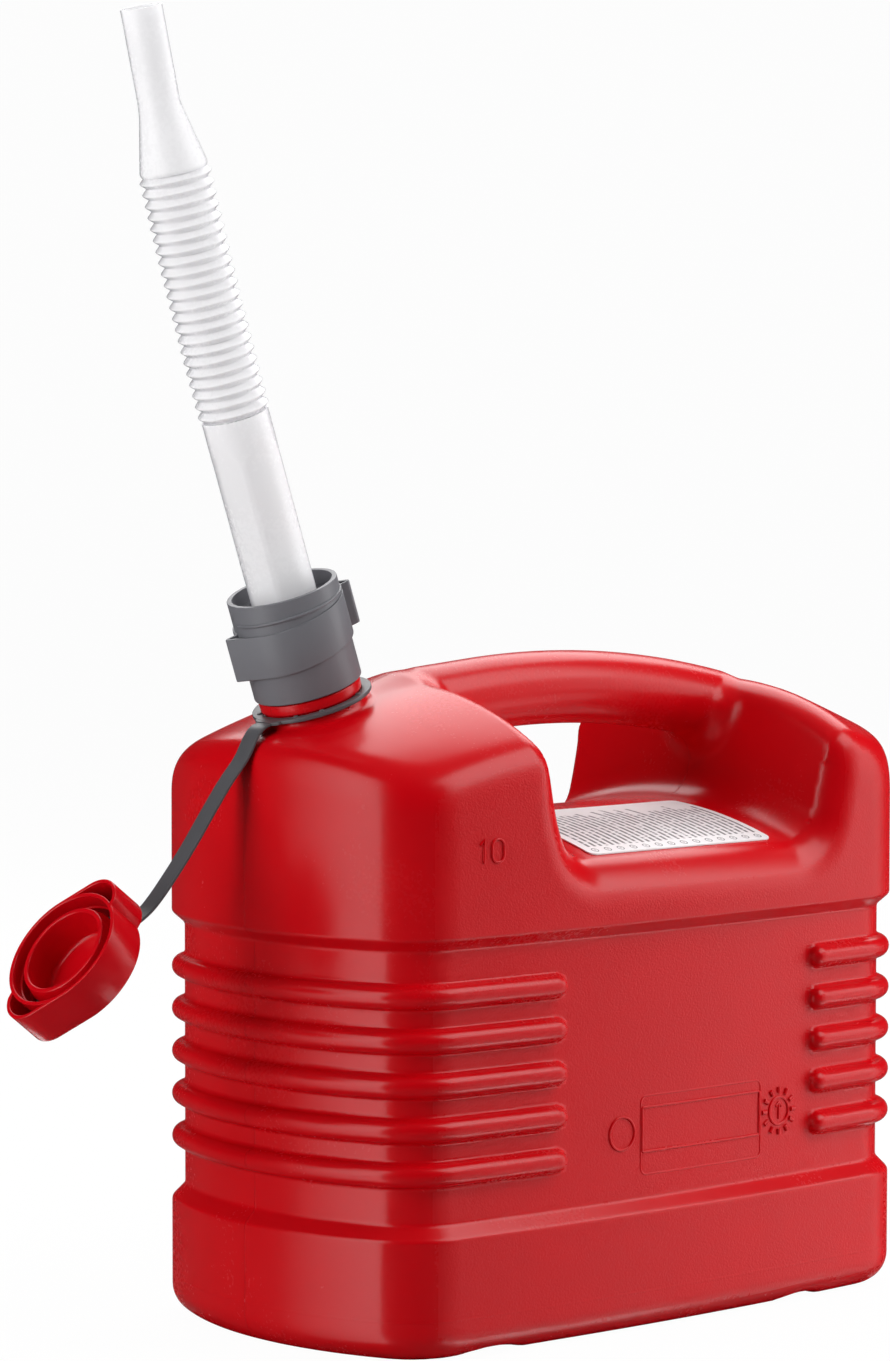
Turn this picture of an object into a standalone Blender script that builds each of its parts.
"""Ten litre fuel can with a screwed collar, a bending pouring spout and a tethered cap.

Units are metres and +Z is up. The can stands on z = 0, its length runs along X, its neck is at the
-X end, and the vertical plane y = 0 is its mould's parting plane. The closure parts are drawn on the
neck's own axis, which leans towards -X, and the cap's parts on the cap's own axis.
"""
import math

import bmesh
import bpy
import numpy as np
from mathutils import Matrix, Vector

# Clearances and working values
GAP = 0.0003
MERGE = 0.00001
OVERRUN = 0.02
SHARP_ANGLE = math.radians(35.0)

# Can body: plan outline and wall
HALF_LENGTH = 0.1591
HALF_WIDTH = 0.0886
SIDE_BOW = 0.0082
END_BOW = 0.0287
CORNER_RADIUS = 0.0334
WALL = 0.0028

# Can body: skirt, drawn-in waist and ribs
BASE_ROUNDING = 0.0129
SKIRT_HEIGHT = 0.0492
SKIRT_LEDGE = 0.0055
WAIST_HEIGHT = 0.1196
WAIST_DEPTH = 0.0054
SHOULDER_LEDGE = 0.0047
RIB_COUNT = 5
RIB_PITCH = 0.0178
RIB_WIDTH = 0.0089
RIB_PROFILE_SHARES = ((-1.0, 0.0), (-0.45, 1.0), (0.45, 1.0), (1.0, 0.0))
TOP_RIB_DROP = 0.0228
NECK_RIB_REACH = 0.0991
FAR_RIB_REACH = 0.0776

# Can body: grooves across the base, which leave it three feet
GROOVE_DEPTH = 0.003
NECK_GROOVE_INSET = 0.0641
FAR_GROOVE_INSET = 0.0814
NECK_GROOVE_WIDTH = 0.032
FAR_GROOVE_WIDTH = 0.0265

# Can body: crowned shoulders, the neck's first and the far one second
CROWN_INSET = 0.0363
CROWN_RISES = (0.0871, 0.0858)
CROWN_SLOPE_SHARES = (0.307, 0.390)
CROWN_END_DROPS = (0.0020, 0.0007)
CROWN_SIDE_DROPS = (0.0225, 0.0196)
CROWN_EDGE_DROPS = (0.0056, 0.0067)
SHOULDER_RUNS = (0.0134, 0.0115)
SHOULDER_DROPS = (0.0162, 0.0230)
SHOULDER_POWER_SHARES = (3.08, 3.34)
CROWN_RING_SHARES = (0.86, 0.72, 0.55, 0.30, 0.0)

# Handle recess and handle bar
FLOOR_RISE = 0.0392
FLOOR_SIDE_DROP = 0.018
RECESS_NECK_INSET = 0.1007
RECESS_FAR_INSET = 0.0691
RECESS_NECK_SLOPE_SHARE = 0.36
RECESS_FAR_SLOPE_SHARE = 0.25
RECESS_CORNER = 0.018
RECESS_LIP = 0.012
GRIP_HEIGHT = 0.0359
BAR_RADIUS = 0.0155
BAR_END_DROP = 0.0289
BAR_ROOT_DIP = 0.008

# Neck, on its own axis; its origin is level with the closed collar's lower edge
NECK_INSET = 0.0343
NECK_TILT = math.radians(19.0)
NECK_STANDOFF = 0.0073
NECK_LENGTH = 0.035
NECK_THREAD_ROOT = 0.0188
NECK_WALL = 0.0033
NECK_WAIST_STEP = 0.0012
NECK_BEAD_STEP = 0.0012
NECK_BEAD_THICKNESS = 0.0014
NECK_FOOT_STEP = 0.0024
THREAD_PITCH = 0.006
THREAD_WIRE = 0.0012
THREAD_ROOM = 0.0021
THREAD_TURNS = 1.75
THREAD_START = 0.010

# Sealing ring and spout
GASKET_THICKNESS = 0.0012
FLANGE_THICKNESS = 0.0016
FLANGE_PLAY = 0.0011
SPOUT_RADIUS = 0.0137
SPOUT_WALL = 0.0018
SPOUT_TUBE_LENGTH = 0.0831
FLUTE_DEPTH = 0.0010
FLUTE_END_MARGIN = 0.008
BELLOWS_LENGTH = 0.1005
BELLOWS_CREST_STEP = 0.0008
BELLOWS_RIB_DEPTH = 0.0019
BELLOWS_WALL = 0.0013
BELLOWS_BEND = math.radians(3.0)
RIBS_LOWER = 7
RIBS_MIDDLE = 8
RIBS_UPPER = 7
CONE_LENGTH = 0.026
CONE_STEP = 0.0003
TIP_LENGTH = 0.0395
TIP_RADIUS = 0.00835
TIP_BEND = math.radians(2.7)
TIP_WALL = 0.0014

# Collar
COLLAR_SKIRT_WALL = 0.0016
MOUTH_THREAD_WIRE = 0.0007
MOUTH_THREAD_DROP = 0.0085
MOUTH_THREAD_TURNS = 0.9
MOUTH_THREAD_PHASE = math.radians(165.0)
COLLAR_TOP_STEP = 0.0004
COLLAR_MOUTH_WALL = 0.0015
COLLAR_MOUTH_DEPTH = 0.0058
COLLAR_LIP_PLAY = 0.0038
COLLAR_LIP_THICKNESS = 0.0015
BAND_START = 0.0175
BAND_HEIGHT = 0.018
BAND_STEP = 0.0003
BAND_RAKE_SHARE = 0.08
WING_STANDOUT = 0.005
WING_TIP_ANGLE = math.radians(157.0)
WING_ROOT_ANGLE = math.radians(190.0)
WING_WALL = 0.0015

# Tether: ring round the neck, strap and eyelet
RING_PLAY = 0.0010
RING_WIDTH = 0.0039
RING_THICKNESS = 0.0016
RING_TAB_REACH = 0.0015
STRAP_WIDTH = 0.0087
STRAP_THICKNESS = 0.0012
STRAP_REACH = 0.0812
STRAP_DROP = 0.0862
STRAP_REACH_SHARES = (0.0, 0.023, 0.150, 0.239, 0.356, 0.466, 0.571, 0.720, 0.977, 1.0)
STRAP_DROP_SHARES = (0.0, 0.008, 0.162, 0.255, 0.396, 0.534, 0.654, 0.804, 0.973, 1.0)
STRAP_RING_HINGE = 1
STRAP_SPLIT = 5
STRAP_CAP_HINGE = 7
EYELET_WIDTH = 0.0042
EYELET_THICKNESS = 0.002

# Cap, on its own axis; its origin is the middle of its open face
CAP_TILT = math.radians(52.0)
CAP_HEIGHT = 0.0173
CAP_THREAD_ROOM = 0.0016
CAP_SKIRT_WALL = 0.0018
CAP_FLOOR = 0.0018
PLUG_PLAY = 0.0021
PLUG_WALL = 0.0016
PLUG_SETBACK = 0.0010
PLUG_STEP_WIDTH = 0.0042
PLUG_STEP_HEIGHT = 0.004
SEAL_THICKNESS = 0.0012
BUTTON_STEM_RADIUS = 0.005
BUTTON_HEAD_STEP = 0.0018
BUTTON_HEAD_THICKNESS = 0.0016
LOBE_STANDOUT = 0.0071
LOBE_TIP_RADIUS = 0.010
LOBE_ANGLE = math.radians(168.0)
LOBE_ROOT_ANGLE = math.radians(213.0)
LOBE_BACK_ANGLE = math.radians(147.0)
LOBE_WALL = 0.0017

# Label on the recess's floor
LABEL_THICKNESS = 0.0004
LABEL_END_MARGIN = 0.0222
LABEL_SIDE_MARGIN = 0.0161
LABEL_WIDTH = 0.050

# Facets
SIDE_FACETS = 5
CORNER_FACETS = 5
END_FACETS = 4
ROUNDING_FACETS = 4
SHOULDER_FACETS = 5
RECESS_FACETS = 4
BAR_FACETS = 8
LABEL_FACETS = 6
TURN_STEPS = 32
SMALL_STEPS = 20
THREAD_POINTS_A_TURN = 20

# Places and radii that follow from the sizes above
SHOULDER_START = SKIRT_HEIGHT + WAIST_HEIGHT
TOP_RIB = SHOULDER_START - TOP_RIB_DROP
NECK_RIB_END = NECK_RIB_REACH - HALF_LENGTH
FAR_RIB_END = HALF_LENGTH - FAR_RIB_REACH
RECESS_FLOOR = SHOULDER_START + FLOOR_RISE
RECESS_NECK_WALL = RECESS_NECK_INSET - HALF_LENGTH
RECESS_FAR_WALL = HALF_LENGTH - RECESS_FAR_INSET
BAR_TOP = RECESS_FLOOR + GRIP_HEIGHT + 2 * BAR_RADIUS
NECK_BORE = NECK_THREAD_ROOT - NECK_WALL
NECK_WAIST_RADIUS = NECK_THREAD_ROOT + NECK_WAIST_STEP
NECK_BEAD_RADIUS = NECK_WAIST_RADIUS + NECK_BEAD_STEP
NECK_FOOT_RADIUS = NECK_WAIST_RADIUS + NECK_FOOT_STEP
RING_TOP = -GAP - NECK_BEAD_THICKNESS - GAP
RING_BOTTOM = RING_TOP - RING_THICKNESS
RING_INNER = NECK_WAIST_RADIUS + RING_PLAY
RING_OUTER = RING_INNER + RING_WIDTH
FLANGE_BOTTOM = NECK_LENGTH + GAP + GASKET_THICKNESS + GAP
FLANGE_TOP = FLANGE_BOTTOM + FLANGE_THICKNESS
SPOUT_TUBE_END = FLANGE_BOTTOM + SPOUT_TUBE_LENGTH
BELLOWS_CREST = SPOUT_RADIUS + BELLOWS_CREST_STEP
BELLOWS_VALLEY = BELLOWS_CREST - BELLOWS_RIB_DEPTH
BELLOWS_BORE = BELLOWS_VALLEY - BELLOWS_WALL
CONE_RADIUS = SPOUT_RADIUS + CONE_STEP
COLLAR_BORE = NECK_THREAD_ROOT + THREAD_ROOM
COLLAR_SKIRT_RADIUS = COLLAR_BORE + COLLAR_SKIRT_WALL
COLLAR_WALL_MIDDLE = COLLAR_BORE + COLLAR_SKIRT_WALL / 2
COLLAR_TOP_RADIUS = COLLAR_SKIRT_RADIUS + COLLAR_TOP_STEP
COLLAR_MOUTH = COLLAR_TOP_RADIUS - COLLAR_MOUTH_WALL
COLLAR_LIP_HOLE = SPOUT_RADIUS + COLLAR_LIP_PLAY
COLLAR_LIP_BOTTOM = FLANGE_TOP + GAP
COLLAR_LIP_TOP = COLLAR_LIP_BOTTOM + COLLAR_LIP_THICKNESS
COLLAR_HEIGHT = COLLAR_LIP_TOP + COLLAR_MOUTH_DEPTH
FLANGE_RADIUS = COLLAR_BORE - FLANGE_PLAY
BAND_RADIUS = COLLAR_TOP_RADIUS + BAND_STEP
WING_REACH = BAND_RADIUS + WING_STANDOUT
EYELET_INNER = BUTTON_STEM_RADIUS + GAP
EYELET_OUTER = EYELET_INNER + EYELET_WIDTH
CAP_SKIRT_INNER = COLLAR_TOP_RADIUS + CAP_THREAD_ROOM
CAP_RADIUS = CAP_SKIRT_INNER + CAP_SKIRT_WALL
CAP_FLOOR_TOP = CAP_FLOOR - CAP_HEIGHT
PLUG_RADIUS = COLLAR_MOUTH - PLUG_PLAY
PLUG_INNER = PLUG_RADIUS - PLUG_WALL
LOBE_REACH = CAP_RADIUS + LOBE_STANDOUT


def clear_scene():
    """Empties the scene of objects and of the collections that held them."""
    for scene_object in list(bpy.data.objects):
        bpy.data.objects.remove(scene_object, do_unlink=True)
    for collection in list(bpy.data.collections):
        bpy.data.collections.remove(collection)


def new_collection(name):
    collection = bpy.data.collections.new(name)
    bpy.context.scene.collection.children.link(collection)
    return collection


def plastic(name, colour, roughness):
    """A Principled material of one colour for one kind of moulded plastic."""
    material = bpy.data.materials.new(name)
    material.use_nodes = True
    shader = material.node_tree.nodes["Principled BSDF"]
    shader.inputs["Base Color"].default_value = (*colour, 1.0)
    shader.inputs["Roughness"].default_value = roughness
    shader.inputs["Metallic"].default_value = 0.0
    return material


def add_object(name, mesh, collection, material=None, matrix=None):
    """Links a mesh as an object, as a wire-drawn guide where it has no material."""
    added = bpy.data.objects.new(name, mesh)
    collection.objects.link(added)
    if matrix is not None:
        added.matrix_world = matrix
    if material is not None:
        mesh.materials.append(material)
    else:
        added.hide_render = True
        added.display_type = "WIRE"
    return added


def combine(target, other, operation):
    modifier = target.modifiers.new(operation.title() + " " + other.name, "BOOLEAN")
    modifier.operation = operation
    modifier.solver = "EXACT"
    modifier.object = other


def smoothed(mesh):
    """Shades a mesh smooth except across its sharp edges."""
    mesh.shade_smooth()
    mesh.set_sharp_from_angle(angle=SHARP_ANGLE)
    return mesh


def evaluated_mesh(name, guide):
    """Takes a guide object's evaluated mesh, welds its doubled points and removes the guide."""
    mesh = bpy.data.meshes.new_from_object(guide.evaluated_get(bpy.context.evaluated_depsgraph_get()))
    bpy.data.objects.remove(guide, do_unlink=True)
    shape = bmesh.new()
    shape.from_mesh(mesh)
    bmesh.ops.remove_doubles(shape, verts=shape.verts, dist=MERGE)
    bmesh.ops.recalc_face_normals(shape, faces=shape.faces)
    shape.to_mesh(mesh)
    shape.free()
    mesh.name = name
    return smoothed(mesh)


def closed_mesh(name, vertices, faces):
    """A mesh whose doubled points are merged and whose faces all point outwards."""
    mesh = bpy.data.meshes.new(name)
    mesh.from_pydata([tuple(vertex) for vertex in vertices], [], faces)
    shape = bmesh.new()
    shape.from_mesh(mesh)
    bmesh.ops.remove_doubles(shape, verts=shape.verts, dist=MERGE)
    bmesh.ops.recalc_face_normals(shape, faces=shape.faces)
    shape.to_mesh(mesh)
    shape.free()
    return smoothed(mesh)


def loft(name, rings):
    """Skins a list of rings with the same number of points, and caps the first and last."""
    ring_array = np.array(rings)
    ring_count, point_count, _ = ring_array.shape
    faces = []
    for ring in range(ring_count - 1):
        for point in range(point_count):
            after = (point + 1) % point_count
            low = ring * point_count
            high = low + point_count
            faces.append((low + point, low + after, high + after, high + point))
    faces.append(tuple(range(point_count)))
    faces.append(tuple(range((ring_count - 1) * point_count, ring_count * point_count)))
    return closed_mesh(name, ring_array.reshape(-1, 3), faces)


def turned(name, profile, steps, collection, material=None, matrix=None, closed=True):
    """Turns a profile of (radius, height) pairs about Z; the outer side is listed top to bottom."""
    mesh = bpy.data.meshes.new(name)
    count = len(profile)
    last = count if closed else count - 1
    edges = [(index, (index + 1) % count) for index in range(last)]
    mesh.from_pydata([(radius, 0.0, height) for radius, height in profile], edges, [])
    guide = bpy.data.objects.new(name + " profile", mesh)
    bpy.context.scene.collection.objects.link(guide)
    screw = guide.modifiers.new("Turn", "SCREW")
    screw.axis = "Z"
    screw.angle = math.tau
    screw.steps = steps
    screw.render_steps = steps
    screw.use_merge_vertices = True
    screw.merge_threshold = MERGE
    return add_object(name, evaluated_mesh(name, guide), collection, material, matrix)


def tube(name, points, radii, resolution, collection, material=None, matrix=None):
    """A filled round tube on straight stretches, with its own radius at each point."""
    curve = bpy.data.curves.new(name, "CURVE")
    curve.dimensions = "3D"
    curve.bevel_depth = max(radii)
    curve.bevel_resolution = resolution
    curve.use_fill_caps = True
    spline = curve.splines.new("POLY")
    spline.points.add(len(points) - 1)
    for point, place, radius in zip(spline.points, points, radii):
        point.co = (*place, 1.0)
        point.radius = radius / curve.bevel_depth
    guide = bpy.data.objects.new(name + " curve", curve)
    bpy.context.scene.collection.objects.link(guide)
    return add_object(name, evaluated_mesh(name, guide), collection, material, matrix)


def plate(name, outlines, low, high):
    """A flat plate between two heights, from a 2D curve of one outline and any holes in it."""
    curve = bpy.data.curves.new(name, "CURVE")
    curve.dimensions = "2D"
    curve.fill_mode = "BOTH"
    curve.extrude = (high - low) / 2
    for outline in outlines:
        spline = curve.splines.new("POLY")
        spline.points.add(len(outline) - 1)
        spline.use_cyclic_u = True
        for point, place in zip(spline.points, outline):
            point.co = (place[0], place[1], 0.0, 1.0)
    guide = bpy.data.objects.new(name + " curve", curve)
    bpy.context.scene.collection.objects.link(guide)
    mesh = evaluated_mesh(name, guide)
    mesh.transform(Matrix.Translation((0.0, 0.0, (low + high) / 2)))
    return mesh


def cylinder(name, radius, low, high, steps, collection, matrix):
    shape = bmesh.new()
    bmesh.ops.create_cone(
        shape, cap_ends=True, segments=steps, radius1=radius, radius2=radius, depth=high - low)
    bmesh.ops.translate(shape, verts=shape.verts, vec=Vector((0, 0, (low + high) / 2)))
    mesh = bpy.data.meshes.new(name)
    shape.to_mesh(mesh)
    shape.free()
    return add_object(name, mesh, collection, matrix=matrix)


def tilted(origin, tilt):
    """The frame of an axis that leans from +Z towards -X by an angle, in the parting plane."""
    return Matrix.Translation(origin) @ Matrix.Rotation(-tilt, 4, "Y")


def arc_points(radius, start, end, count):
    angles = np.linspace(start, end, count)
    return [(radius * math.cos(angle), radius * math.sin(angle)) for angle in angles]


def plan_outline():
    """Points and outward normals round the can: bowed sides and ends with round corners.

    Sides and ends are arcs whose sagitta is their bow. A corner's arc touches both, so its middle
    is a corner radius inside each of them.
    """
    side_radius = (HALF_LENGTH ** 2 + SIDE_BOW ** 2) / (2 * SIDE_BOW)
    end_radius = (HALF_WIDTH ** 2 + END_BOW ** 2) / (2 * END_BOW)
    side_middle = HALF_WIDTH - side_radius
    end_middle = HALF_LENGTH - end_radius
    from_side = side_radius - CORNER_RADIUS
    from_end = end_radius - CORNER_RADIUS
    span = math.hypot(end_middle, side_middle)
    along = (from_side ** 2 - from_end ** 2 + span ** 2) / (2 * span)
    across = math.sqrt(from_side ** 2 - along ** 2)
    unit_x = end_middle / span
    unit_y = -side_middle / span
    corner_x = along * unit_x + across * unit_y
    corner_y = side_middle + along * unit_y - across * unit_x
    side_angle = math.atan2(corner_y - side_middle, corner_x)
    end_angle = math.atan2(corner_y, corner_x - end_middle)
    tangent_x = side_radius * math.cos(side_angle)
    rib_round = RIB_WIDTH / 2
    marks = [-tangent_x, NECK_RIB_END - rib_round, NECK_RIB_END, FAR_RIB_END, FAR_RIB_END + rib_round,
             tangent_x]
    middle = np.linspace(NECK_RIB_END, FAR_RIB_END, SIDE_FACETS + 1)
    neck_run = np.linspace(-tangent_x, NECK_RIB_END - rib_round, SIDE_FACETS - 1)
    far_run = np.linspace(FAR_RIB_END + rib_round, tangent_x, SIDE_FACETS - 1)
    stations = np.unique(np.concatenate([marks, middle, neck_run, far_run]).round(9))
    points = []
    normals = []
    for x in stations:
        angle = math.acos(x / side_radius)
        normal = np.array((math.cos(angle), math.sin(angle)))
        points.append(np.array((0.0, side_middle)) + side_radius * normal)
        normals.append(normal)
    corner_angles = np.linspace(side_angle, end_angle, CORNER_FACETS + 1)[1:]
    for angle in corner_angles:
        normal = np.array((math.cos(angle), math.sin(angle)))
        points.append(np.array((corner_x, corner_y)) + CORNER_RADIUS * normal)
        normals.append(normal)
    for angle in np.linspace(end_angle, -end_angle, END_FACETS + 1)[1:]:
        normal = np.array((math.cos(angle), math.sin(angle)))
        points.append(np.array((end_middle, 0.0)) + end_radius * normal)
        normals.append(normal)
    for angle in corner_angles[::-1][1:]:
        normal = np.array((math.cos(angle), -math.sin(angle)))
        points.append(np.array((corner_x, -corner_y)) + CORNER_RADIUS * normal)
        normals.append(normal)
    for x in stations[::-1]:
        angle = math.acos(x / side_radius)
        normal = np.array((math.cos(angle), -math.sin(angle)))
        points.append(np.array((0.0, -side_middle)) + side_radius * normal)
        normals.append(normal)
    for angle in corner_angles:
        normal = np.array((-math.cos(angle), -math.sin(angle)))
        points.append(np.array((-corner_x, -corner_y)) + CORNER_RADIUS * normal)
        normals.append(normal)
    for angle in np.linspace(-end_angle, end_angle, END_FACETS + 1)[1:]:
        normal = np.array((-math.cos(angle), math.sin(angle)))
        points.append(np.array((-end_middle, 0.0)) + end_radius * normal)
        normals.append(normal)
    for angle in corner_angles[::-1][1:]:
        normal = np.array((-math.cos(angle), math.sin(angle)))
        points.append(np.array((-corner_x, corner_y)) + CORNER_RADIUS * normal)
        normals.append(normal)
    return np.array(points), np.array(normals)


def far_share(x):
    """How much of the far shoulder's shape holds at x: 0 at the neck's side, 1 at the other."""
    share = np.clip((x - RECESS_NECK_WALL) / (RECESS_FAR_WALL - RECESS_NECK_WALL), 0.0, 1.0)
    return share * share * (3 - 2 * share)


def mixed(pair, x):
    share = far_share(x)
    return pair[0] * (1 - share) + pair[1] * share


def crown(x, y):
    """Height of the crowned top without its rounded edge, each shoulder with its own slope."""
    crown_x = HALF_LENGTH - CROWN_INSET
    heights = []
    for side, sign in enumerate((1.0, -1.0)):
        inward = sign * x + crown_x
        height = (SHOULDER_START + CROWN_RISES[side] + CROWN_SLOPE_SHARES[side] * inward
                  - CROWN_END_DROPS[side] * (inward / CROWN_INSET) ** 2
                  - CROWN_SIDE_DROPS[side] * (y / HALF_WIDTH) ** 2
                  - CROWN_EDGE_DROPS[side] * (y / HALF_WIDTH) ** 4)
        heights.append(height)
    share = far_share(x)
    return heights[0] * (1 - share) + heights[1] * share


def flat_ring(outline, normals, inset, height):
    """The outline moved inwards by inset and set at one height."""
    plan = outline - normals * np.reshape(inset, (-1, 1))
    return np.column_stack([plan, np.full(len(plan), height)])


def body_rings(wall, with_ribs):
    """Rings from the base up to the crown's middle, moved inwards by a wall."""
    outline, normals = plan_outline()
    count = len(outline)
    rounding = BASE_ROUNDING - wall
    rings = []
    for angle in np.linspace(0.0, math.pi / 2, ROUNDING_FACETS + 1):
        inset = wall + rounding * (1 - math.sin(angle))
        height = wall + rounding * (1 - math.cos(angle))
        rings.append(flat_ring(outline, normals, np.full(count, inset), height))
    waist = WAIST_DEPTH + wall
    rings.append(flat_ring(outline, normals, np.full(count, wall), SKIRT_HEIGHT - wall))
    rings.append(flat_ring(outline, normals, np.full(count, waist), SKIRT_HEIGHT + SKIRT_LEDGE - wall))
    if with_ribs:
        rib_round = RIB_WIDTH / 2
        neck_share = np.clip((NECK_RIB_END - outline[:, 0]) / rib_round, 0.0, 1.0)
        far_rib_share = np.clip((outline[:, 0] - FAR_RIB_END) / rib_round, 0.0, 1.0)
        ribbed = neck_share + far_rib_share
        for rib in reversed(range(RIB_COUNT)):
            crest = TOP_RIB - rib * RIB_PITCH
            for height_share, rise_share in RIB_PROFILE_SHARES:
                inset = WAIST_DEPTH * (1 - rise_share * ribbed)
                rings.append(flat_ring(outline, normals, inset, crest + height_share * rib_round))
    rings.append(flat_ring(
        outline, normals, np.full(count, waist), SHOULDER_START - SHOULDER_LEDGE + wall))
    rings.append(flat_ring(outline, normals, np.full(count, wall), SHOULDER_START + wall))
    for angle in np.linspace(math.pi / 2, 0.0, SHOULDER_FACETS + 1):
        power = mixed(SHOULDER_POWER_SHARES, outline[:, 0])
        reach = math.sin(angle) ** (2 / power)
        drop = mixed(SHOULDER_DROPS, outline[:, 0]) * (1 - math.cos(angle) ** (2 / power))
        inset = wall + mixed(SHOULDER_RUNS, outline[:, 0]) * (1 - reach)
        plan = outline - normals * inset[:, None]
        height = crown(plan[:, 0], plan[:, 1]) - drop - wall
        rings.append(np.column_stack([plan, height]))
    rim = rings[-1][:, :2]
    for ring_share in CROWN_RING_SHARES:
        plan = rim * ring_share
        rings.append(np.column_stack([plan, crown(plan[:, 0], plan[:, 1]) - wall]))
    return rings


def recess_floor(y):
    """Height of the crowned floor of the handle recess."""
    return RECESS_FLOOR - FLOOR_SIDE_DROP * (y / HALF_WIDTH) ** 2


def recess_rings(wall):
    """Sections of the handle recess along Y, flared to a round lip at both broad faces."""
    half_reach = HALF_WIDTH + OVERRUN
    lip_start = HALF_WIDTH - RECESS_LIP
    lip_angles = np.linspace(0.0, math.pi / 2, RECESS_FACETS + 1)
    stations = [lip_start + RECESS_LIP * math.sin(angle) for angle in lip_angles]
    stations = [0.0, HALF_WIDTH / 3, HALF_WIDTH * 2 / 3] + stations + [half_reach]
    stations = [-station for station in reversed(stations[1:])] + stations
    top = BAR_TOP + OVERRUN
    rings = []
    for y in stations:
        depth = min(max(abs(y) - lip_start, 0.0), RECESS_LIP)
        flare = wall + RECESS_LIP - math.sqrt(RECESS_LIP ** 2 - depth ** 2)
        floor = recess_floor(min(abs(y), HALF_WIDTH))
        neck_angle = math.atan(RECESS_NECK_SLOPE_SHARE)
        far_angle = math.atan(RECESS_FAR_SLOPE_SHARE)
        neck_middle = RECESS_NECK_WALL + RECESS_CORNER
        far_middle = RECESS_FAR_WALL - RECESS_CORNER
        corner = RECESS_CORNER + flare
        corner_height = floor + RECESS_CORNER
        section = []
        neck_top = top - corner_height
        start = np.array((neck_middle, corner_height))
        wall_point = start - corner * np.array((math.cos(neck_angle), math.sin(neck_angle)))
        section.append(wall_point + neck_top * np.array((-RECESS_NECK_SLOPE_SHARE, 1.0)))
        for angle in np.linspace(math.pi + neck_angle, 1.5 * math.pi, RECESS_FACETS + 1):
            section.append(start + corner * np.array((math.cos(angle), math.sin(angle))))
        start = np.array((far_middle, corner_height))
        for angle in np.linspace(-math.pi / 2, -far_angle, RECESS_FACETS + 1):
            section.append(start + corner * np.array((math.cos(angle), math.sin(angle))))
        section.append(section[-1] + neck_top * np.array((RECESS_FAR_SLOPE_SHARE, 1.0)))
        rings.append([(x, y, z) for x, z in section])
    return rings


def bar_route(end_dip):
    """Middle line of the handle bar: a shallow arch that dives into both shoulders."""
    stations = np.linspace(RECESS_NECK_WALL, RECESS_FAR_WALL + BAR_RADIUS, BAR_FACETS + 1)
    heights = BAR_TOP - BAR_RADIUS - BAR_END_DROP * (stations / HALF_LENGTH) ** 2
    route = [(x, 0.0, z) for x, z in zip(stations, heights)]
    dive = BAR_RADIUS
    neck_end = (route[0][0] - dive, 0.0, route[0][2] - end_dip)
    far_end = (route[-1][0] + dive, 0.0, route[-1][2] - end_dip)
    return [neck_end] + route + [far_end]


def base_grooves():
    """Name, middle and width of each groove across the base."""
    return (("neck groove", NECK_GROOVE_INSET - HALF_LENGTH, NECK_GROOVE_WIDTH),
            ("far groove", HALF_LENGTH - FAR_GROOVE_INSET, FAR_GROOVE_WIDTH))


def groove_cutter(name, middle_x, width, wall, cutters):
    """A shallow arch across the base, as part of a cylinder laid along Y."""
    radius = ((width / 2) ** 2 + GROOVE_DEPTH ** 2) / (2 * GROOVE_DEPTH)
    place = Matrix.Translation((middle_x, 0.0, GROOVE_DEPTH - radius))
    turn = Matrix.Rotation(math.pi / 2, 4, "X")
    half_reach = HALF_WIDTH + OVERRUN
    return cylinder(name, radius + wall, -half_reach, half_reach, 2 * TURN_STEPS, cutters, place @ turn)


def thread(name, radius, wire, start, turns, phase, cutters, matrix):
    """A right-handed helical bead: a round wire that climbs one pitch in each turn."""
    count = int(round(turns * THREAD_POINTS_A_TURN)) + 1
    points = []
    for step in range(count):
        turn = turns * step / (count - 1)
        angle = math.tau * turn + phase
        points.append((radius * math.cos(angle), radius * math.sin(angle), start + THREAD_PITCH * turn))
    return tube(name, points, [wire] * count, 1, cutters, matrix=matrix)


def neck_frame():
    neck_x = NECK_INSET - HALF_LENGTH
    height = float(crown(neck_x, 0.0)) + NECK_STANDOFF * math.cos(NECK_TILT)
    return tilted(Vector((neck_x, 0.0, height)), NECK_TILT)


def make_can_body(parts, cutters, red):
    neck = neck_frame()
    body = add_object("can_body", loft("can_body", body_rings(0.0, True)), parts, red)
    recess = add_object("recess cutter", loft("recess cutter", recess_rings(0.0)), cutters)
    combine(body, recess, "DIFFERENCE")
    route = bar_route(BAR_ROOT_DIP)
    bar = tube("handle bar", route, [BAR_RADIUS] * len(route), 6, cutters)
    combine(body, bar, "UNION")
    bead_bottom = RING_TOP + GAP
    foot_top = RING_BOTTOM - GAP
    inner = NECK_BORE / 2
    root = foot_top - NECK_STANDOFF - WALL
    profile = [
        (NECK_THREAD_ROOT, NECK_LENGTH),
        (NECK_THREAD_ROOT, -GAP),
        (NECK_BEAD_RADIUS, -GAP),
        (NECK_BEAD_RADIUS, bead_bottom),
        (NECK_WAIST_RADIUS, bead_bottom),
        (NECK_WAIST_RADIUS, foot_top),
        (NECK_FOOT_RADIUS, foot_top),
        (NECK_FOOT_RADIUS, root),
        (inner, root),
        (inner, NECK_LENGTH),
    ]
    combine(body, turned("neck", profile, TURN_STEPS, cutters, matrix=neck), "UNION")
    combine(body, thread("neck thread", NECK_THREAD_ROOT, THREAD_WIRE, THREAD_START, THREAD_TURNS, 0.0,
                         cutters, neck), "UNION")
    for name, middle, width in base_grooves():
        combine(body, groove_cutter(name, middle, width, 0.0, cutters), "DIFFERENCE")
    cavity = make_cavity(cutters)
    combine(body, cavity, "DIFFERENCE")
    bore = cylinder("neck bore", NECK_BORE, root - WALL, NECK_LENGTH + OVERRUN, TURN_STEPS, cutters, neck)
    combine(body, bore, "DIFFERENCE")
    return body


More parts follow.
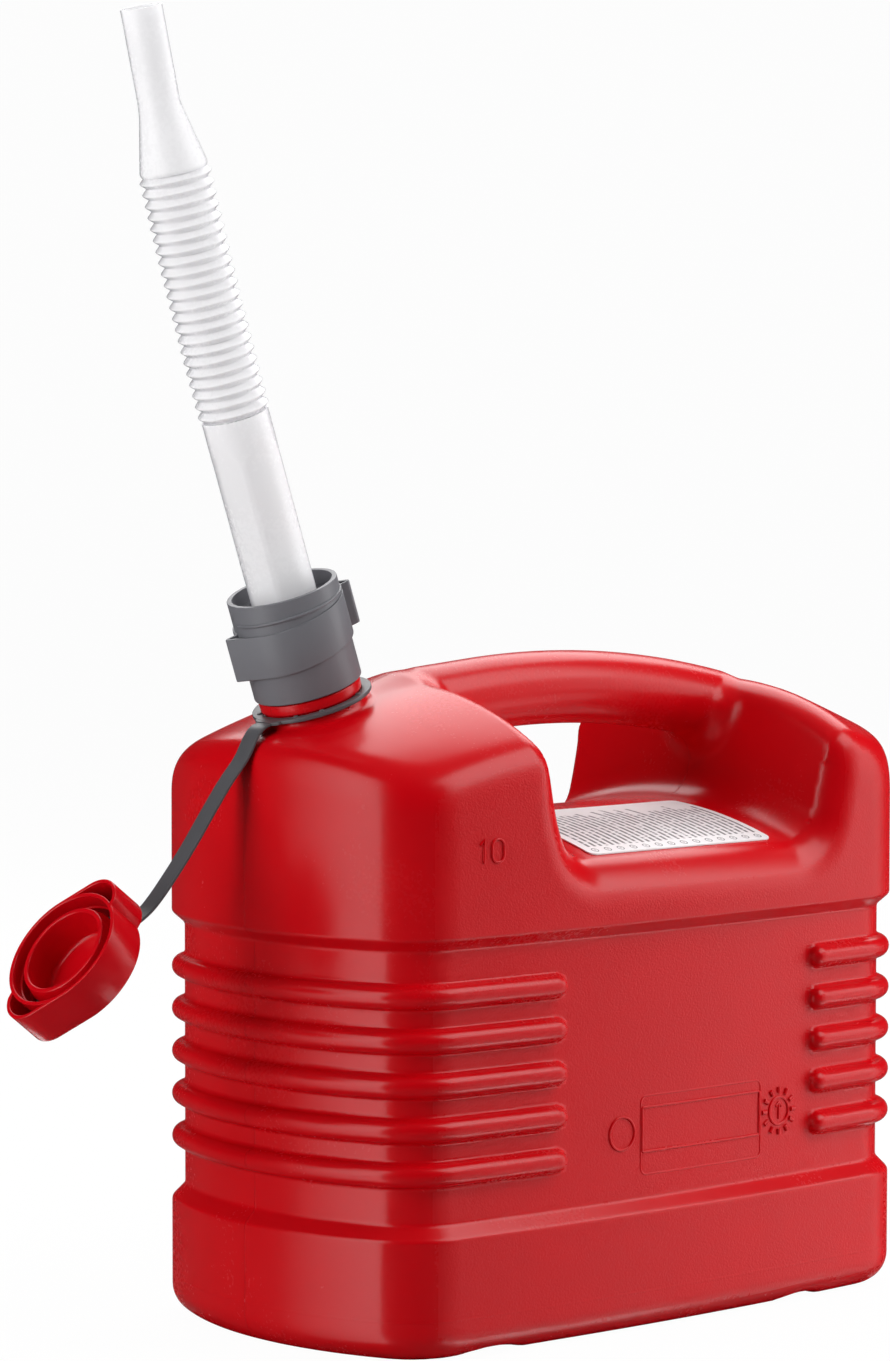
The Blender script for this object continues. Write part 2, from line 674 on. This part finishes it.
def make_cavity(cutters):
    """The can's inside: the outer form moved in by the wall, with the bar's own hollow."""
    cavity = add_object("cavity", loft("cavity", body_rings(WALL, False)), cutters)
    recess = add_object("inner recess", loft("inner recess", recess_rings(WALL)), cutters)
    combine(cavity, recess, "DIFFERENCE")
    route = bar_route(BAR_ROOT_DIP)
    hollow = tube("bar hollow", route, [BAR_RADIUS - WALL] * len(route), 4, cutters)
    combine(cavity, hollow, "UNION")
    for name, middle, width in base_grooves():
        combine(cavity, groove_cutter("inner " + name, middle, width, WALL, cutters), "DIFFERENCE")
    return cavity


def make_label(parts, paper):
    """A thin sheet that follows the recess's floor on the -Y half of its crown."""
    near_edge = LABEL_SIDE_MARGIN - HALF_WIDTH
    y_stations = np.linspace(near_edge, near_edge + LABEL_WIDTH, LABEL_FACETS + 1)
    rings = []
    for x in (RECESS_NECK_WALL + LABEL_END_MARGIN, RECESS_FAR_WALL - LABEL_END_MARGIN):
        lower = [(x, y, recess_floor(y) + GAP) for y in y_stations]
        upper = [(x, y, recess_floor(y) + GAP + LABEL_THICKNESS) for y in y_stations[::-1]]
        rings.append(lower + upper)
    return add_object("label", loft("label", rings), parts, paper)


def make_gasket(parts, dark, neck):
    low = NECK_LENGTH + GAP
    high = low + GASKET_THICKNESS
    profile = [(NECK_THREAD_ROOT, high), (NECK_THREAD_ROOT, low), (NECK_BORE, low), (NECK_BORE, high)]
    turned("neck_gasket", profile, TURN_STEPS, parts, dark, neck)


def make_spout_tube(parts, cutters, milky, neck):
    """The clamped flange and the plain tube above it, with four long flats."""
    inner = SPOUT_RADIUS - SPOUT_WALL
    profile = [
        (SPOUT_RADIUS, SPOUT_TUBE_END),
        (SPOUT_RADIUS, FLANGE_TOP),
        (FLANGE_RADIUS, FLANGE_TOP),
        (FLANGE_RADIUS, FLANGE_BOTTOM),
        (inner, FLANGE_BOTTOM),
        (inner, SPOUT_TUBE_END),
    ]
    spout = turned("spout_tube", profile, TURN_STEPS, parts, milky, neck)
    low = COLLAR_LIP_TOP
    high = SPOUT_TUBE_END - FLUTE_END_MARGIN
    shape = bmesh.new()
    for quarter in range(4):
        made = bmesh.ops.create_cube(shape, size=1.0)["verts"]
        bmesh.ops.scale(shape, verts=made, vec=Vector((FLUTE_DEPTH * 2, SPOUT_RADIUS, high - low)))
        middle = Vector((SPOUT_RADIUS, 0.0, (low + high) / 2))
        bmesh.ops.translate(shape, verts=made, vec=middle)
        turn = Matrix.Rotation(quarter * math.pi / 2, 3, "Z")
        bmesh.ops.rotate(shape, verts=made, cent=Vector(), matrix=turn)
    mesh = bpy.data.meshes.new("spout flats")
    shape.to_mesh(mesh)
    shape.free()
    combine(spout, add_object("spout flats", mesh, cutters, matrix=neck), "DIFFERENCE")


def spout_place(distance):
    """Point and lean of the spout's middle line, in the neck's frame, past the tube's end."""
    rate = BELLOWS_BEND / BELLOWS_LENGTH
    bent = min(max(distance, 0.0), BELLOWS_LENGTH)
    lean = rate * bent
    x = (1 - math.cos(lean)) / rate
    z = SPOUT_TUBE_END + math.sin(lean) / rate
    beyond = distance - bent
    return Vector((x + beyond * math.sin(lean), 0.0, z + beyond * math.cos(lean))), lean


def bellows_stations():
    """Where each of the three stretches of ribs starts and ends along the spout."""
    pitch = BELLOWS_LENGTH / (RIBS_LOWER + RIBS_MIDDLE + RIBS_UPPER)
    first = pitch * RIBS_LOWER
    second = first + pitch * RIBS_MIDDLE
    return (0.0, first), (first, second), (second, BELLOWS_LENGTH)


def make_bellows(name, start, end, ribs, parts, cutters, milky, matrix, origin):
    """A stretch of ribs: one valley and one crest for each, and a plain bore through it."""
    low = start + GAP
    pitch = (end - low) / ribs
    points = []
    radii = []
    for rib in range(ribs):
        points.append(spout_place(low + rib * pitch)[0] - origin)
        points.append(spout_place(low + (rib + 0.5) * pitch)[0] - origin)
        radii += [BELLOWS_VALLEY, BELLOWS_CREST]
    points.append(spout_place(end)[0] - origin)
    radii.append(BELLOWS_VALLEY)
    stretch = tube(name, points, radii, 2, parts, milky, matrix)
    bore_points = [spout_place(step)[0] - origin for step in np.linspace(low - pitch, end + pitch, 5)]
    bore = tube(name + " bore", bore_points, [BELLOWS_BORE] * len(bore_points), 2, cutters, matrix=matrix)
    combine(stretch, bore, "DIFFERENCE")


def make_nozzle(parts, cutters, milky, matrix, origin):
    """The cone that narrows to the pouring tip, and the tip, which leans a little further."""
    start, lean = spout_place(BELLOWS_LENGTH + GAP)
    direction = Vector((math.sin(lean), 0.0, math.cos(lean)))
    tip_lean = lean + TIP_BEND
    tip_direction = Vector((math.sin(tip_lean), 0.0, math.cos(tip_lean)))
    cone_end = start + direction * CONE_LENGTH
    tip_end = cone_end + tip_direction * TIP_LENGTH
    points = [start - origin, cone_end - origin, tip_end - origin]
    nozzle = tube("spout_nozzle", points, [CONE_RADIUS, TIP_RADIUS, TIP_RADIUS], 4, parts, milky, matrix)
    slope = (CONE_RADIUS - TIP_RADIUS) / CONE_LENGTH
    below = start - direction * OVERRUN
    above = tip_end + tip_direction * OVERRUN
    points = [below - origin, cone_end - origin, above - origin]
    wide = CONE_RADIUS - TIP_WALL + slope * OVERRUN
    radii = [wide, TIP_RADIUS - TIP_WALL, TIP_RADIUS - TIP_WALL]
    bore = tube("nozzle bore", points, radii, 4, cutters, matrix=matrix)
    combine(nozzle, bore, "DIFFERENCE")


def make_spout(parts, cutters, milky, neck):
    make_spout_tube(parts, cutters, milky, neck)
    stretches = bellows_stations()
    names = ("bellows_lower", "bellows_mid", "bellows_upper")
    counts = (RIBS_LOWER, RIBS_MIDDLE, RIBS_UPPER)
    lower_hinge = spout_place(sum(stretches[0]) / 2)[0]
    upper_hinge = spout_place(sum(stretches[2]) / 2)[0]
    origins = (Vector(), lower_hinge, upper_hinge)
    for name, (start, end), ribs, origin in zip(names, stretches, counts, origins):
        matrix = neck @ Matrix.Translation(origin)
        make_bellows(name, start, end, ribs, parts, cutters, milky, matrix, origin)
    make_nozzle(parts, cutters, milky, neck @ Matrix.Translation(upper_hinge), upper_hinge)


def wing_outline():
    """The collar band's outline: a circle drawn out along a tangent into two opposite wings."""
    tip = np.array((math.cos(WING_TIP_ANGLE), math.sin(WING_TIP_ANGLE))) * WING_REACH
    outline = []
    for half in (0.0, math.pi):
        turn = np.array(((math.cos(half), -math.sin(half)), (math.sin(half), math.cos(half))))
        outline.append(turn @ tip)
        arc = arc_points(BAND_RADIUS, WING_ROOT_ANGLE, WING_TIP_ANGLE + math.pi, 9)
        outline += [turn @ np.array(point) for point in arc]
    return outline, tip


def wing_pocket(tip):
    """The hollow inside one wing: its tangent wall and its back wall moved in by the wing's wall."""
    root = np.array((math.cos(WING_ROOT_ANGLE), math.sin(WING_ROOT_ANGLE))) * BAND_RADIUS
    along = (tip - root) / np.linalg.norm(tip - root)
    normal = np.array((along[1], -along[0]))
    if normal @ root > 0:
        normal = -normal
    back = -tip / np.linalg.norm(tip)
    back_normal = np.array((back[1], -back[0]))
    if back_normal @ along > 0:
        back_normal = -back_normal
    corner = tip + normal * WING_WALL + back_normal * WING_WALL + back * WING_WALL / 2
    near_root = root + normal * WING_WALL + along * WING_WALL * 2
    low_angle = math.atan2(near_root[1], near_root[0]) % math.tau
    high_angle = math.atan2(corner[1], corner[0]) % math.tau
    arc = [np.array(point) for point in arc_points(COLLAR_WALL_MIDDLE, low_angle, high_angle, 5)]
    return [corner, near_root] + arc


def raked(mesh):
    """Slopes a mesh along the neck's local X, as the band is raked on the collar."""
    shear = Matrix.Identity(4)
    shear[2][0] = BAND_RAKE_SHARE
    mesh.transform(shear)
    return mesh


def make_collar(parts, cutters, grey, neck):
    taper_end = BAND_START + WING_WALL
    profile = [
        (COLLAR_TOP_RADIUS, COLLAR_HEIGHT),
        (COLLAR_TOP_RADIUS, taper_end + WING_WALL),
        (COLLAR_SKIRT_RADIUS, taper_end),
        (COLLAR_SKIRT_RADIUS, 0.0),
        (COLLAR_BORE, 0.0),
        (COLLAR_BORE, COLLAR_LIP_BOTTOM),
        (COLLAR_LIP_HOLE, COLLAR_LIP_BOTTOM),
        (COLLAR_LIP_HOLE, COLLAR_LIP_TOP),
        (COLLAR_MOUTH, COLLAR_LIP_TOP),
        (COLLAR_MOUTH, COLLAR_HEIGHT),
    ]
    collar = turned("collar", profile, TURN_STEPS, parts, grey, neck)
    outline, tip = wing_outline()
    hole = arc_points(COLLAR_WALL_MIDDLE, 0.0, math.tau * (1 - 1 / TURN_STEPS), TURN_STEPS)
    mesh = plate("wing band", [outline, hole], BAND_START, BAND_START + BAND_HEIGHT)
    band = add_object("wing band", raked(mesh), cutters, matrix=neck)
    floor = BAND_START + WING_WALL
    pocket = wing_pocket(tip)
    for half in (0, 1):
        sign = 1 - 2 * half
        mesh = plate("wing pocket", [[point * sign for point in pocket]], floor, floor + BAND_HEIGHT)
        cutter = add_object(f"wing pocket {half}", raked(mesh), cutters, matrix=neck)
        combine(band, cutter, "DIFFERENCE")
    combine(collar, band, "UNION")
    combine(collar, thread("collar thread", COLLAR_BORE, THREAD_WIRE, THREAD_START, THREAD_TURNS, math.pi,
                           cutters, neck), "UNION")
    start = COLLAR_HEIGHT - MOUTH_THREAD_DROP
    combine(collar, thread("mouth thread", COLLAR_TOP_RADIUS, MOUTH_THREAD_WIRE, start, MOUTH_THREAD_TURNS,
                           MOUTH_THREAD_PHASE, cutters, neck), "UNION")


def strap_points(neck):
    """The strap's middle line in the parting plane, from the ring's tab to the eyelet."""
    middle = (RING_TOP + RING_BOTTOM) / 2
    start = neck @ Vector((-RING_OUTER - RING_TAB_REACH - GAP, 0.0, middle))
    return [start + Vector((-STRAP_REACH * reach, 0.0, -STRAP_DROP * drop))
            for reach, drop in zip(STRAP_REACH_SHARES, STRAP_DROP_SHARES)]


def make_strap(name, points, origin, parts, grey):
    """A flat strip along the middle line, thickened to both sides."""
    half = Vector((0.0, STRAP_WIDTH / 2, 0.0))
    vertices = []
    for point in points:
        vertices += [point - half - origin, point + half - origin]
    faces = [(2 * step, 2 * step + 2, 2 * step + 3, 2 * step + 1) for step in range(len(points) - 1)]
    mesh = bpy.data.meshes.new(name)
    mesh.from_pydata([tuple(vertex) for vertex in vertices], [], faces)
    strap = add_object(name, mesh, parts, grey, Matrix.Translation(origin))
    solid = strap.modifiers.new("Thickness", "SOLIDIFY")
    solid.thickness = STRAP_THICKNESS
    solid.offset = 0.0
    solid.use_even_offset = True


def make_tether(parts, cutters, grey, neck):
    profile = [(RING_OUTER, RING_TOP), (RING_OUTER, RING_BOTTOM),
               (RING_INNER, RING_BOTTOM), (RING_INNER, RING_TOP)]
    ring = turned("tether_ring", profile, TURN_STEPS, parts, grey, neck)
    inside = (RING_INNER + RING_OUTER) / 2
    outside = RING_OUTER + RING_TAB_REACH
    half = STRAP_WIDTH / 2
    outline = [(-inside, -half), (-inside, half), (-outside, half), (-outside, -half)]
    mesh = plate("ring tab", [outline], RING_BOTTOM, RING_TOP)
    tab = add_object("ring tab", mesh, cutters, matrix=neck)
    combine(ring, tab, "UNION")
    points = strap_points(neck)
    gap_step = (points[STRAP_SPLIT + 1] - points[STRAP_SPLIT]).normalized() * GAP
    upper = points[:STRAP_SPLIT + 1]
    lower = [points[STRAP_SPLIT] + gap_step] + points[STRAP_SPLIT + 1:]
    make_strap("tether_strap_upper", upper, points[STRAP_RING_HINGE], parts, grey)
    make_strap("tether_strap_lower", lower, points[STRAP_CAP_HINGE], parts, grey)
    return points[-1]


def cap_frame(strap_end):
    """The cap's frame, placed so that the eyelet on its button meets the strap's end."""
    turn = Matrix.Rotation(-CAP_TILT, 3, "Y")
    along = turn @ Vector((1.0, 0.0, 0.0))
    opening = turn @ Vector((0.0, 0.0, 1.0))
    eyelet_middle = CAP_HEIGHT + GAP + EYELET_THICKNESS / 2
    return tilted(strap_end - along * (EYELET_OUTER + GAP) + opening * eyelet_middle, CAP_TILT)


def make_eyelet(parts, grey, cap_matrix):
    top = -CAP_HEIGHT - GAP
    bottom = top - EYELET_THICKNESS
    profile = [(EYELET_OUTER, top), (EYELET_OUTER, bottom), (EYELET_INNER, bottom), (EYELET_INNER, top)]
    turned("tether_eyelet", profile, SMALL_STEPS, parts, grey, cap_matrix)


def lobe_outline(reach_in):
    """One of the cap's two hollow lobes: a round nose that a tangent wall joins to the ring."""
    reach = LOBE_REACH - reach_in
    nose = LOBE_TIP_RADIUS - reach_in
    middle_radius = reach - nose
    middle = np.array((math.cos(LOBE_ANGLE), math.sin(LOBE_ANGLE))) * middle_radius
    inside = (CAP_RADIUS + CAP_SKIRT_INNER) / 2
    points = [np.array((math.cos(LOBE_ROOT_ANGLE), math.sin(LOBE_ROOT_ANGLE))) * inside]
    for angle in np.linspace(LOBE_ROOT_ANGLE, LOBE_BACK_ANGLE - math.pi / 4, 7):
        points.append(middle + nose * np.array((math.cos(angle), math.sin(angle))))
    points.append(np.array((math.cos(LOBE_BACK_ANGLE), math.sin(LOBE_BACK_ANGLE))) * inside)
    return points


def make_cap(parts, cutters, red, dark, cap_matrix):
    """The winged cap: threaded skirt, plug cup with a step, floor and the eyelet's button."""
    step_radius = PLUG_INNER - PLUG_STEP_WIDTH
    step_top = CAP_FLOOR_TOP + PLUG_STEP_HEIGHT
    stem_end = -CAP_HEIGHT - EYELET_THICKNESS - 2 * GAP
    head_radius = BUTTON_STEM_RADIUS + BUTTON_HEAD_STEP
    head_end = stem_end - BUTTON_HEAD_THICKNESS
    profile = [
        (0.0, CAP_FLOOR_TOP),
        (step_radius, CAP_FLOOR_TOP),
        (step_radius, step_top),
        (PLUG_INNER, step_top),
        (PLUG_INNER, -PLUG_SETBACK),
        (PLUG_RADIUS, -PLUG_SETBACK),
        (PLUG_RADIUS, CAP_FLOOR_TOP),
        (CAP_SKIRT_INNER, CAP_FLOOR_TOP),
        (CAP_SKIRT_INNER, 0.0),
        (CAP_RADIUS, 0.0),
        (CAP_RADIUS, -CAP_HEIGHT),
        (BUTTON_STEM_RADIUS, -CAP_HEIGHT),
        (BUTTON_STEM_RADIUS, stem_end),
        (head_radius, stem_end),
        (head_radius, head_end),
        (0.0, head_end),
    ]
    cap = turned("cap", profile, TURN_STEPS, parts, red, cap_matrix, closed=False)
    for half in (0, 1):
        sign = 1 - 2 * half
        outline = [point * sign for point in lobe_outline(0.0)]
        lobe = add_object(f"lobe {half}", plate("lobe", [outline], -CAP_HEIGHT, 0.0), cutters,
                          matrix=cap_matrix)
        inner = [point * sign for point in lobe_outline(LOBE_WALL)]
        hollow = plate("lobe hollow", [inner], CAP_FLOOR_TOP, OVERRUN)
        combine(lobe, add_object(f"lobe hollow {half}", hollow, cutters, matrix=cap_matrix), "DIFFERENCE")
        bore = cylinder(f"lobe bore {half}", (CAP_RADIUS + CAP_SKIRT_INNER) / 2, CAP_FLOOR_TOP,
                        OVERRUN, TURN_STEPS, cutters, cap_matrix)
        combine(lobe, bore, "DIFFERENCE")
        combine(cap, lobe, "UNION")
    low = CAP_FLOOR_TOP + GAP
    high = low + SEAL_THICKNESS
    inner = PLUG_RADIUS + GAP
    outer = CAP_SKIRT_INNER - GAP
    turned("cap_seal", [(outer, high), (outer, low), (inner, low), (inner, high)], TURN_STEPS, parts,
           dark, cap_matrix)


def main():
    clear_scene()
    parts = new_collection("fuel_can")
    cutters = new_collection("fuel_can_cutters")
    red = plastic("red can plastic", (0.60, 0.010, 0.012), 0.36)
    cap_red = plastic("red cap plastic", (0.62, 0.010, 0.012), 0.30)
    grey = plastic("grey closure plastic", (0.13, 0.135, 0.145), 0.45)
    milky = plastic("milky spout plastic", (0.84, 0.84, 0.86), 0.30)
    dark = plastic("black seal rubber", (0.03, 0.03, 0.03), 0.70)
    paper = plastic("white label film", (0.85, 0.85, 0.85), 0.45)
    neck = neck_frame()
    make_can_body(parts, cutters, red)
    make_label(parts, paper)
    make_gasket(parts, dark, neck)
    make_spout(parts, cutters, milky, neck)
    make_collar(parts, cutters, grey, neck)
    strap_end = make_tether(parts, cutters, grey, neck)
    cap_matrix = cap_frame(strap_end)
    make_eyelet(parts, grey, cap_matrix)
    make_cap(parts, cutters, cap_red, dark, cap_matrix)


main()
